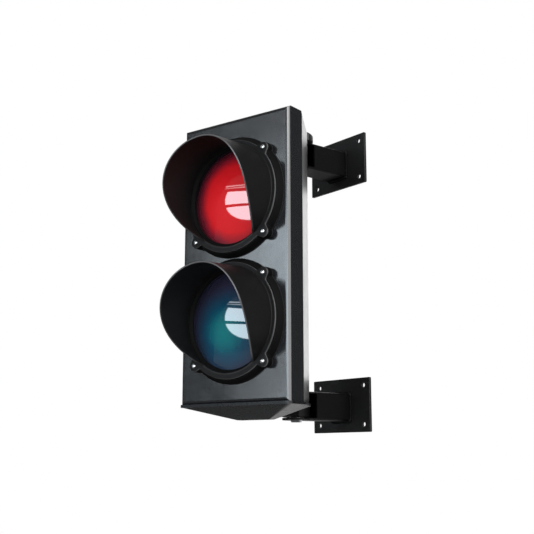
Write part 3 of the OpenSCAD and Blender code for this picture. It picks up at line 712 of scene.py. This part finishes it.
# %% Lenses
LENS_R, LENS_RISE, LENS_FACE, LENS_T = 64.5, 14.0, 4.5, 3.0
SEAT_R, SEAT_FOOT, SEAT_EDGE = 68.5, 2.0, 0.5
DOME_R = (LENS_R ** 2 + LENS_RISE ** 2) / (2 * LENS_RISE)
DOME_MID = LENS_FACE + LENS_RISE - DOME_R
FLUTED_R, FLUTE_PITCH, FLUTE_H, RIM_FADE, POLE_FADE = 62.0, 5.0, 0.35, 4.0, 6.0
POLE_R = 1.0


def dome(radii, radius):
    """Height of a dome of the given radius: its middle plus sqrt(R^2 - r^2)."""
    return DOME_MID + np.sqrt(radius ** 2 - radii ** 2)


def make_lens(lamp, finish):
    """A lens from the front pole over the rim to the back pole, with flutes that fade out at rim and pole."""
    angles = np.linspace(0, 2 * math.pi, 480, endpoint=False)
    front = np.linspace(POLE_R, LENS_R, 40)[:, None] + 0 * angles
    front = np.stack([front, dome(front, DOME_R)], -1)
    rim = [(SEAT_R - SEAT_EDGE, LENS_FACE), (SEAT_R, LENS_FACE - SEAT_EDGE), (SEAT_R, SEAT_FOOT + SEAT_EDGE),
           (SEAT_R - SEAT_EDGE, SEAT_FOOT), (FLUTED_R + 0.6, SEAT_FOOT)]
    rim = np.array(rim)[:, None, :] + np.zeros((1, len(angles), 1))
    back = np.linspace(FLUTED_R, POLE_R, 84)[:, None] + 0 * angles
    wave = np.abs(np.sin(math.pi * back * np.cos(angles) / FLUTE_PITCH)) - 0.5
    fade = np.clip((FLUTED_R - back) / RIM_FADE, 0, 1) * np.clip(back / POLE_FADE, 0, 1)
    back = np.stack([back, dome(back, DOME_R - LENS_T) - FLUTE_H * wave * fade], -1)
    profile = np.concatenate([front, rim, back])
    piece = solid_from(f"{lamp}_lens_dome", [skin(from_lantern(swept(profile, angles), LAMP_Z[lamp]))])
    dress(piece, finish)
    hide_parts(f"{lamp}_lens")
    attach(piece, "lantern")
    return piece


LENSES = {lamp: make_lens(lamp, finish) for lamp, finish in (("red", red_glass), ("green", green_glass))}
print("lenses", {lamp: len(piece.data.polygons) for lamp, piece in LENSES.items()})

# %% [markdown]
# ## Visor screws
# Eight pan-head screws hold the visors. Each head is a low dome with a cross recess, and each is turned a
# little differently, as a hand leaves them. The recess could be cut out, but a depth worked out on the
# head's own grid keeps its surface in one piece.

# %% Visor screws
HEAD_R, HEAD_H, HEAD_FALL, SHANK_R, SHANK_LEN = 3.4, 2.4, 0.09, 2.0, 12.0
CROSS_ARM, CROSS_ARM_SLOPE, CROSS_LEN, CROSS_END_SLOPE, CROSS_DEPTH = 0.36, 0.16, 1.7, 0.35, 0.9


def screw_head(turn):
    """One screw about its own axis, as a shell with poles. Its seat is at y = 0 and its head toward -y.

    Its top falls with the square of the radius. The recess is a cross: where the smaller of |x|, |z| is
    within its arm, and the larger within its length."""
    angles = np.linspace(0, 2 * math.pi, 96, endpoint=False)
    inner = np.linspace(0.08, 2.6, 26)[:, None] + 0 * angles
    x, z = inner * np.cos(angles - turn), inner * np.sin(angles - turn)
    narrow, wide = np.minimum(np.abs(x), np.abs(z)), np.maximum(np.abs(x), np.abs(z))
    arm = np.clip((CROSS_ARM - narrow) / CROSS_ARM_SLOPE, 0, 1)
    end = np.clip((CROSS_LEN - wide) / CROSS_END_SLOPE, 0, 1)
    top = np.stack([inner, HEAD_H - HEAD_FALL * inner ** 2 - CROSS_DEPTH * arm * end], -1)
    side = [(2.95, 1.45), (3.2, 1.12), (3.36, 0.7), (HEAD_R, 0.3), (3.3, 0.05), (3.2, 0.0), (SHANK_R, 0.0),
            (SHANK_R, -SHANK_LEN), (1.6, -SHANK_LEN - 0.5)]
    side = np.array(side)[:, None, :] + np.zeros((1, len(angles), 1))
    return skin(swept(np.concatenate([top, side]), angles))


def make_screws(lamp):
    """The four screws of one visor, as one piece of four shells."""
    shells = []
    for number, (side, up) in enumerate([(-1, -1), (-1, 1), (1, -1), (1, 1)]):
        points, quads, triangles = screw_head(0.3 + 0.55 * number + (0.2 if lamp == "red" else 0.0))
        offset = np.array([side * SCREW_SQUARE, -FLANGE_TOP, up * SCREW_SQUARE]) * MM
        shells.append((from_lantern(points + offset, LAMP_Z[lamp]), quads, triangles))
    piece = solid_from(f"{lamp}_pan_screws", shells)
    dress(piece, bright_screw)
    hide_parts(f"{lamp}_visor_screws")
    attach(piece, "lantern")
    return piece


SCREWS = {lamp: make_screws(lamp) for lamp in LAMP_Z}
print("screws", {lamp: len(piece.data.polygons) for lamp, piece in SCREWS.items()})

# %% [markdown]
# ## Wall plates
# The plates are cut from 4 mm steel and tumbled, so every edge is a little round. A Bevel modifier could
# round them, but a CAD node's mesh is loose triangles that it can't follow. So a plate is a set of loops:
# its outline and its holes, each drawn in by the rounding at both faces. The two faces fill the space
# between the loops.

# %% Wall plates
HOLE_R, HOLE_SIDE, HOLE_UP = 3.25, 47.0, 28.0
PLATE_EDGE, PLATE_CORNER, FLAT_START = 0.6, 1.5, 1.6


def box_loop(width, height, corner, count=8):
    """A rectangle with round corners about the origin, counter-clockwise, as (x, z)."""
    quarter = np.linspace(0, math.pi / 2, count)
    arc = np.stack([np.cos(quarter), np.sin(quarter)], -1) * corner
    loops = []
    for turn, (sx, sz) in enumerate([(1, 1), (-1, 1), (-1, -1), (1, -1)]):
        c, s = round(math.cos(turn * math.pi / 2)), round(math.sin(turn * math.pi / 2))
        turned = arc @ np.array([[c, s], [-s, c]])
        loops.append(turned + [sx * (width / 2 - corner), sz * (height / 2 - corner)])
    return np.concatenate(loops)


def circle_loop(radius, middle, count=48):
    """A circle as (x, z)."""
    angles = np.linspace(0, 2 * math.pi, count, endpoint=False)
    return np.stack([np.cos(angles), np.sin(angles)], -1) * radius + middle


def pierced_plate(name, node, holes, edge, corner):
    """A plate with round holes and rounded edges that fills the box of a CAD node, all in metres.

    Its loops are drawn in by e (1 - sin s) at the depth e (1 - cos s) from either face, for s from 0 to
    a right angle. One more loop on each face keeps the flat part flat. The outline runs one way round
    and the holes the other, so that all walls face the same side. The two faces fill the space between
    the loops with triangles."""
    low, high = (np.array(corner_point) for corner_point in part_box(node))
    width, thick, height = high - low
    middle = (low + high) / 2
    s = np.linspace(0, math.pi / 2, 5)
    inset = np.concatenate([[FLAT_START * edge], edge * (1 - np.sin(s))])
    depth = np.concatenate([[0.0], edge * (1 - np.cos(s))])
    inset, depth = np.concatenate([inset, inset[::-1]]), np.concatenate([depth, thick - depth[::-1]])
    loops = [np.stack([box_loop(width - 2 * e, height - 2 * e, corner - e) for e in inset])]
    loops += [np.stack([circle_loop(radius + e, place)[::-1] for e in inset]) for radius, place in holes]
    points, quads, first, last, start = [], [], [], [], 0
    for loop in loops:
        flat = loop + middle[[0, 2]]
        away = np.broadcast_to(low[1] + depth[:, None], flat.shape[:2])
        points.append(np.stack([flat[..., 0], away, flat[..., 1]], -1).reshape(-1, 3))
        index = start + np.arange(away.size).reshape(away.shape)
        beside = np.roll(index, -1, axis=1)
        quads.append(np.stack([index[:-1], beside[:-1], beside[1:], index[1:]], -1).reshape(-1, 4))
        first.append(index[0])
        last.append(index[-1])
        start += away.size
    flat = np.concatenate([loop[0] for loop in loops])
    fill = np.array(tessellate_polygon([np.insert(loop[0], 2, 0.0, axis=1).tolist() for loop in loops]))
    one, two = flat[fill[:, 1]] - flat[fill[:, 0]], flat[fill[:, 2]] - flat[fill[:, 0]]
    backward = one[:, 0] * two[:, 1] < one[:, 1] * two[:, 0]
    fill[backward] = fill[backward, ::-1]
    caps = np.concatenate([np.concatenate(first)[fill[:, ::-1]], np.concatenate(last)[fill]])
    return solid_from(name, [(np.concatenate(points), np.concatenate(quads), caps)])


def make_wall_plate(level):
    """A wall plate with its four holes, at the same places as in the solid."""
    holes = [(HOLE_R * MM, (side * HOLE_SIDE * MM, up * HOLE_UP * MM)) for side in (-1, 1) for up in (-1, 1)]
    edge, corner = PLATE_EDGE * MM, PLATE_CORNER * MM
    piece = pierced_plate(f"{level}_plate_edged", f"{level}_wall_plate", holes, edge, corner)
    dress(piece, plate_coat)
    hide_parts(f"{level}_wall_plate")
    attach(piece, "wall_mount")
    return piece


PLATES = {level: make_wall_plate(level) for level in ("upper", "lower")}
print("plates", {level: len(piece.data.polygons) for level, piece in PLATES.items()})

# %% [markdown]
# ## Weld beads
# Each arm is welded to its plate all round. A bead is a round bar that runs along the arm's outline. It
# could be a curve with a round section, but a weld's radius swells and shrinks with every step of the
# welder's hand, so the bar is a grid with its own radius at each place. These sizes are in metres, like the
# CAD boxes.

# %% Weld beads
BEAD_R, BEAD_STEP, BEAD_SWELL, BEAD_OFF, ARM_CORNER = 0.0024, 0.0021, 0.0003, 0.0004, 0.0035


def closed_path(loop, count):
    """Even places along a closed loop of (x, z), with the outward direction at each."""
    ends = np.concatenate([loop, loop[:1]])
    along = np.concatenate([[0], np.cumsum(np.linalg.norm(np.diff(ends, axis=0), axis=1))])
    places = np.linspace(0, along[-1], count, endpoint=False)
    points = np.stack([np.interp(places, along, ends[:, i]) for i in range(2)], -1)
    tangent = np.roll(points, -1, axis=0) - np.roll(points, 1, axis=0)
    outward = np.stack([tangent[:, 1], -tangent[:, 0]], -1)
    return points, outward / np.linalg.norm(outward, axis=1, keepdims=True), along[-1]


def make_weld(level):
    """A bead where the arm meets the plate.

    Its radius is r0 + swell cos(2 pi n s), with n ripples along the outline, and a slower wander of the
    welder's hand is added."""
    low, high = (np.array(corner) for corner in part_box(f"{level}_arm"))
    plate_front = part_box(f"{level}_wall_plate")[0][1]
    side = high[0] - low[0]
    points, outward, length = closed_path(box_loop(side, side, ARM_CORNER), 640)
    share = np.arange(len(points)) / len(points)
    ripple = BEAD_SWELL * np.cos(2 * math.pi * share * round(length / BEAD_STEP))
    wander = BEAD_SWELL * np.sin(2 * math.pi * share * 5 + (1.0 if level == "upper" else 2.2))
    radius = BEAD_R + ripple + wander
    around = np.linspace(0, 2 * math.pi, 20, endpoint=False)[:, None]
    out = BEAD_OFF + radius * np.cos(around)
    front = BEAD_OFF + radius * np.sin(around)
    height = (low[2] + high[2]) / 2
    grid = np.stack([points[:, 0] + outward[:, 0] * out, plate_front - front,
                     height + points[:, 1] + outward[:, 1] * out], -1)
    piece = solid_from(f"{level}_arm_weld", [skin(grid, True)])
    dress(piece, shaded_arm_coat)
    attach(piece, "wall_mount")
    return piece


WELDS = {level: make_weld(level) for level in ("upper", "lower")}
print("welds", {level: len(piece.data.polygons) for level, piece in WELDS.items()})

# %% [markdown]
# ## Lock knob
# The knob on the upper pivot is moulded nylon. Seven scallops give the fingers a hold, its edges are well
# rounded, and a disc closes its top. Seven cylinders could be cut out of its side, but as a formula for the
# radius the scallops take the rounding of the edges with them.

# %% Lock knob
LOBES, HOLLOW_R, HOLLOW_OUT, HOLLOW_KEPT = 7, 5.0, 2.5, 0.995
DISC_R, DISC_GAP, DISC_SUNK = 7.8, 0.6, 0.7


def make_knob():
    """A scalloped knob: a turned profile whose radius is cut back by circles outside its edge.

    A circle of radius q about the distance c leaves c cos(a) - sqrt(q^2 - c^2 sin^2(a)) at the angle a
    from it. The profile runs from the foot over the scalloped side and the groove round the disc to the
    top's middle."""
    low, high = (np.array(corner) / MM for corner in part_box("upper_lock_knob"))
    radius, tall = (high[0] - low[0]) / 2, high[2] - low[2]
    angles = np.linspace(0, 2 * math.pi, 700, endpoint=False)
    pitch = 2 * math.pi / LOBES
    off = np.abs((angles + pitch / 2) % pitch - pitch / 2)
    centre = radius + HOLLOW_OUT
    sine = np.minimum(centre * np.sin(off), HOLLOW_R * HOLLOW_KEPT)
    bite = centre * np.cos(off) - np.sqrt(HOLLOW_R ** 2 - sine ** 2)
    side = np.where(centre * np.sin(off) < HOLLOW_R * HOLLOW_KEPT, np.minimum(bite, radius), radius)
    turned = [(1.0, 0.0), (side - 0.5, 0.0), (side, 2.0), (side, tall - 3.0), (side - 2.6, tall),
              (DISC_R + 3 * DISC_GAP, tall), (DISC_R + 2 * DISC_GAP, tall - DISC_SUNK),
              (DISC_R + DISC_GAP, tall - DISC_SUNK), (DISC_R, tall - 0.2), (1.0, tall - 0.1)]
    corners = np.stack([np.stack(np.broadcast_arrays(r, h, angles)[:2], -1) for r, h in turned])
    profile = rounded(corners, [0.0, 0.5, 1.2, 2.2, 2.0, 0.3, 0.3, 0.3, 0.4, 0.0])
    middle = (low + high) / 2
    x, y = profile[..., 0] * np.cos(angles), profile[..., 0] * np.sin(angles)
    grid = np.stack([middle[0] + x, middle[1] + y, low[2] + profile[..., 1]], -1) * MM
    piece = solid_from("upper_knob_moulded", [skin(grid)])
    dress(piece, nylon_black)
    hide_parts("upper_lock_knob")
    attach(piece, "wall_mount")
    return piece


KNOB = make_knob()
print("knob", len(KNOB.data.polygons))

# %% [markdown]
# ## The floor
# The photograph is a product shot on white. A white floor could be lit until it burns out, but that light
# would reach the lantern too. So the camera sees the floor as plain white, glossy surfaces see a faint glow
# that is stronger behind the lantern, where the cap mirrors it, and only soft light meets the real colour.

# %% Floor
FLOOR_Z, FLOOR_FRONT, FLOOR_HALF = -0.30, -1.15, 6.0
FLOOR_GLOSS, FLOOR_BEHIND = 0.10, 0.75
WHITE = (1.0, 1.0, 1.0, 1.0)


def rays(wire, *kinds):
    """Wires that are 1 where the ray is of each kind, and 0 where it isn't."""
    return [wire.node("LightPath", {}, {}, out=kind) for kind in kinds]


floor_mesh = bpy.data.meshes.new("floor")
floor_plan = [(-1, FLOOR_FRONT), (1, FLOOR_FRONT), (1, FLOOR_HALF), (-1, FLOOR_HALF)]
floor_corners = [(side * FLOOR_HALF, y, FLOOR_Z) for side, y in floor_plan]
floor_mesh.from_pydata(floor_corners, [], [(0, 1, 2, 3)])
floor = link_mesh("floor", floor_mesh, smooth=False)
floor_paint = bpy.data.materials.new("floor_paint")
floor_paint.use_nodes = True
floor_wire = Wire(floor_paint.node_tree)
floor_shader = floor_paint.node_tree.nodes["Principled BSDF"]
floor_shader.inputs["Base Color"].default_value = (0.86, 0.86, 0.86, 1.0)
floor_shader.inputs["Roughness"].default_value = 0.8
floor_place = floor_wire.node("TexCoord", {}, {}, out="Object")
behind = floor_wire.node("SeparateXYZ", {}, {"Vector": floor_place}, out="Y")
back = behind.above(0.0, 0.4) * (1.0 - behind.above(0.8, 0.3))
to_camera, to_gloss = rays(floor_wire, "Is Camera Ray", "Is Glossy Ray")
shine = to_camera + to_gloss * (FLOOR_GLOSS + back * FLOOR_BEHIND)
glow = floor_wire.node("Emission", {}, {"Color": WHITE, "Strength": shine})
floor_mix = floor_wire.node("MixShader", {}, {"Fac": to_camera + to_gloss, 2: glow})
floor_paint.node_tree.links.new(floor_shader.outputs[0], floor_mix.socket.node.inputs[1])
output = floor_paint.node_tree.nodes["Material Output"]
floor_paint.node_tree.links.new(floor_mix.socket, output.inputs["Surface"])
dress(floor, floor_paint)
floor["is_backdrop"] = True
print("floor", [round(2 * FLOOR_HALF, 2), round(FLOOR_HALF - FLOOR_FRONT, 2)], "metres, at", FLOOR_Z)

# %% [markdown]
# ## What glossy surfaces mirror
# A studio's lamps and cards show as shapes in whatever is glossy. They could hang round the lantern as
# panels, but panels light it as well, while the sky can show them to glossy rays alone. They are painted in
# degrees of azimuth, which is 0 in front and 90 at the right, and of elevation. A cool oval window in
# front, cut by a bar and a straight top, shows in both lenses, and two thin strips lie over it. A soft box
# at the right shows in the flanks, a card behind on the left draws the bright line down the tub, and a pale
# ceiling opens up the cap. The camera sees white.

# %% Sky
AMBIENT, GLOSS_LEVEL, WINDOW, SIDE_BOX, RIM_CARD, CEILING = 0.70, 0.07, 3.7, 2.6, 2.6, 0.4

world = bpy.data.worlds.new("studio")
world.use_nodes = True
bpy.context.scene.world = world
sky = Wire(world.node_tree)
background = world.node_tree.nodes["Background"]
direction = sky.node("TexCoord", {}, {}, out="Generated")
rightward, backward, upward = (
    sky.node("SeparateXYZ", {}, {"Vector": direction}, out=axis) for axis in "XYZ")
azimuth = sky.maths("ARCTAN2", rightward, backward * -1.0) * math.degrees(1.0)
elevation = sky.node("Math", {"operation": "ARCSINE"}, {0: upward}) * math.degrees(1.0)


def oval(mid_azimuth, mid_elevation, half_width, half_height, soft, lean=0.0):
    """1 inside an oval of the sky, 0 outside, with a soft edge. A lean moves its top to the left."""
    upright = (elevation - mid_elevation) / half_height
    across = (azimuth - mid_azimuth + (elevation - mid_elevation) * lean) / half_width
    reach = (across * across + upright * upright) ** 0.5
    return 1.0 - reach.above(1.0 - soft, 2 * soft)


# The bar lies 3.4 degrees up and the straight top 16 degrees, and both fall a little to the right. The two
# strips lie between 19.4 and 22.6 degrees, parted at 21.3.
beside_bar = ((elevation + azimuth * 0.1 - 3.4) ** 2.0).above(1.1, 0.9)
under_top = 1.0 - (elevation + azimuth * 0.06).above(16.0, 0.7)
panes = oval(8.0, 8.0, 32.2, 20.5, 0.03, 0.2) * beside_bar * under_top
between = (elevation + azimuth * 0.03).above(19.4, 0.6) * (1.0 - elevation.above(22.6, 0.6))
strips = oval(-14.0, 21.0, 13.0, 9.0, 0.1) * between * ((elevation - 21.3) ** 2.0).above(0.1, 0.3)
window = panes + strips * 0.45
side_box = oval(74.0, 6.0, 44.0, 34.0, 0.12)
rim_card = oval(-149.0, 10.0, 26.0, 40.0, 0.3)
ceiling = elevation.above(48.0, 25.0)
by_camera, by_gloss, by_glass = rays(sky, "Is Camera Ray", "Is Glossy Ray", "Is Transmission Ray")
plain = by_camera + by_glass
cool = sky.tint(window * by_gloss, WHITE[:3], (0.80, 0.92, 1.0))
world.node_tree.links.new(cool.socket, background.inputs["Color"])
glossy = GLOSS_LEVEL + window * WINDOW + side_box * SIDE_BOX + rim_card * RIM_CARD + ceiling * CEILING
strength = plain + by_gloss * glossy + (1.0 - plain - by_gloss) * AMBIENT
world.node_tree.links.new(strength.socket, background.inputs["Strength"])
print("sky", len(world.node_tree.nodes), "nodes")

# %% [markdown]
# ## The lamps
# The photograph's light is broad and soft, and comes from the front and from above on the right. Point
# lamps could give its strength but not its soft shadows, so two large rectangles do it. The one in front
# stays out of the reflections, because the window painted on the sky is what shows there.

# %% Lamps
def heading(azimuth, elevation):
    """Unit vector toward an azimuth (0 in front, 90 at the right) and an elevation, in degrees."""
    a, e = math.radians(azimuth), math.radians(elevation)
    return np.array([math.sin(a) * math.cos(e), -math.cos(a) * math.cos(e), math.sin(e)])


def area_light(name, toward, distance, size, power):
    """A soft rectangle that looks at the lantern from a direction (azimuth, elevation)."""
    light = bpy.data.lights.new(name, "AREA")
    light.shape, light.energy = "RECTANGLE", power
    light.size, light.size_y = size
    lamp = bpy.data.objects.new(name, light)
    lamp.location = np.mean(CAD_BOX, axis=0) + heading(*toward) * distance
    lamp.rotation_euler = Vector(-heading(*toward)).to_track_quat("-Z", "Y").to_euler()
    lamp.visible_camera = False
    bpy.context.scene.collection.objects.link(lamp)
    return lamp


key = area_light("key", toward=(-2.0, 4.0), distance=2.0, size=(1.6, 0.9), power=13.5)
key.visible_glossy = False
fill = area_light("fill", toward=(60.0, 35.0), distance=2.2, size=(1.2, 1.2), power=14.0)
bpy.context.scene.view_settings.view_transform = "Standard"
print("lamps", {lamp.name: lamp.data.energy for lamp in (key, fill)}, "watts")

# %% [markdown]
# ## Measures and the end
# The last cell works out where each feature of the finished model shows and how far that is from its image
# point, and prints for each screw how far the ray of its point meets the visor from the head's middle.

# %% Measure the image points
def in_picture(points):
    """Where points show in the photograph, in pixels.

    x = W/2 + f X/-Z and y = H/2 - f Y/-Z in the camera's axes, with f = max(W, H) * lens / sensor."""
    to_camera = np.linalg.inv(np.array(camera.matrix_world))
    local = points @ to_camera[:3, :3].T + to_camera[:3, 3]
    scale = max(PHOTO_W, PHOTO_H) * LENS / SENSOR / -local[:, 2]
    return np.stack([PHOTO_W / 2 + local[:, 0] * scale, PHOTO_H / 2 - local[:, 1] * scale], -1)


def seen_through(x, y, piece):
    """Where the ray through an image point meets a piece, or the nearest place on it where it misses."""
    long_side = max(PHOTO_W, PHOTO_H)
    ray = Vector((x - PHOTO_W / 2, PHOTO_H / 2 - y, -long_side * LENS / SENSOR))
    ray = (camera.matrix_world.to_3x3() @ ray).normalized()
    tree = BVHTree.FromObject(piece, bpy.context.evaluated_depsgraph_get())
    place = tree.ray_cast(camera.matrix_world.translation, ray)[0]
    if place is None:
        reach = (Vector(np.mean(CAD_BOX, axis=0)) - camera.matrix_world.translation).length
        place = tree.find_nearest(camera.matrix_world.translation + ray * reach)[0]
    return np.array(place)


shown_pixels = np.concatenate([in_picture(vertices_of(piece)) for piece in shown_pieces()])
shown = {
    "left_edge": (shown_pixels[:, 0].min(), None), "right_edge": (shown_pixels[:, 0].max(), None),
    "top_edge": (None, shown_pixels[:, 1].min()), "bottom_edge": (None, shown_pixels[:, 1].max()),
}
CORNERS = {"top_right": (1, 1), "low_right": (1, -1), "low_left": (-1, -1)}
for name, (x, y) in POINTS.items():
    lamp, _, corner = name.partition("_screw_")
    if corner:
        side, up = CORNERS[corner]
        head = np.array([side * SCREW_SQUARE, -FLANGE_TOP - HEAD_H / 2, up * SCREW_SQUARE]) * MM
        head = from_lantern(head, LAMP_Z[lamp])
        shown[name] = tuple(in_picture(head[None])[0])
        gap = np.linalg.norm(seen_through(x, y, VISORS[lamp]) - head) / MM
        print(f"{name}: the ray of its point meets the visor {gap:.1f} mm from the head's middle")
for name, wanted in POINTS.items():
    pairs = zip(("x", "y"), shown[name], wanted)
    {axis: round(float(have - want), 2) for axis, have, want in pairs if want is not None}
